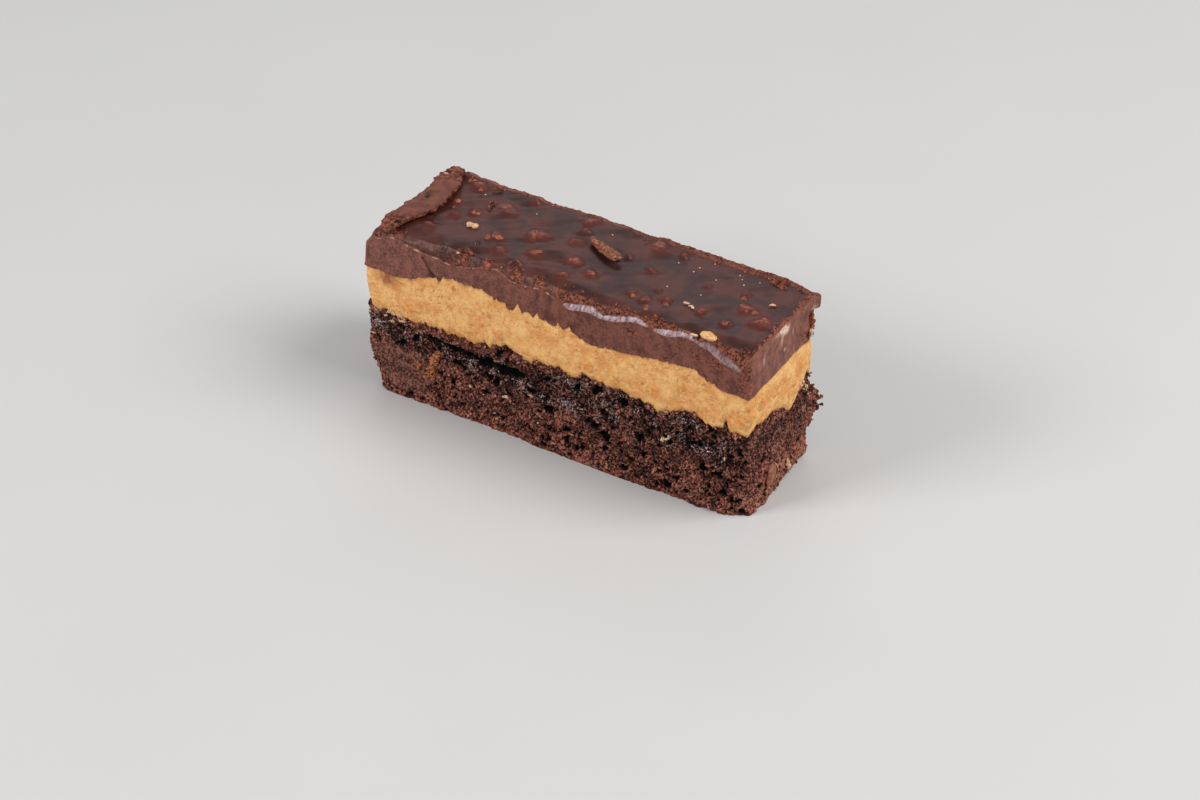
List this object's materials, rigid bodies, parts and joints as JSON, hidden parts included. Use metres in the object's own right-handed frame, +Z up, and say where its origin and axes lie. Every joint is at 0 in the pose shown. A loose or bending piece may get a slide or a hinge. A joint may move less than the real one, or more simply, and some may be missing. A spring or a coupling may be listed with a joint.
{
  "type": "layered brownie bar",
  "caption": "Cut brownie bar: dark crumb base, peanut butter cream layer and a chocolate slab with lumps under its skin, a folded chocolate flap and nut nibs on top.",
  "frame": {"origin": "bottom centre of the bounding box: the level of the flat underside, midway between the bar's furthest points in X and Y", "axes": "+X along the bar, away from the end with the chocolate flap; -Y out of the front cut side; +Z up"},
  "size_m": [0.1024, 0.0336, 0.0457],
  "materials": {
    "brownie_crumb": "moist open crumb, matte with small dark pores (stands in for cake)",
    "peanut_cream": "matte set cream with fine pits (stands in for peanut butter)",
    "chocolate": "satin skin, softer on the cut sides (stands in for chocolate)"
  },
  "bodies": {
    "root": {"brownie_base": "brownie_crumb", "peanut_layer": "peanut_cream", "chocolate_top": "chocolate"}
  },
  "joints": []
}
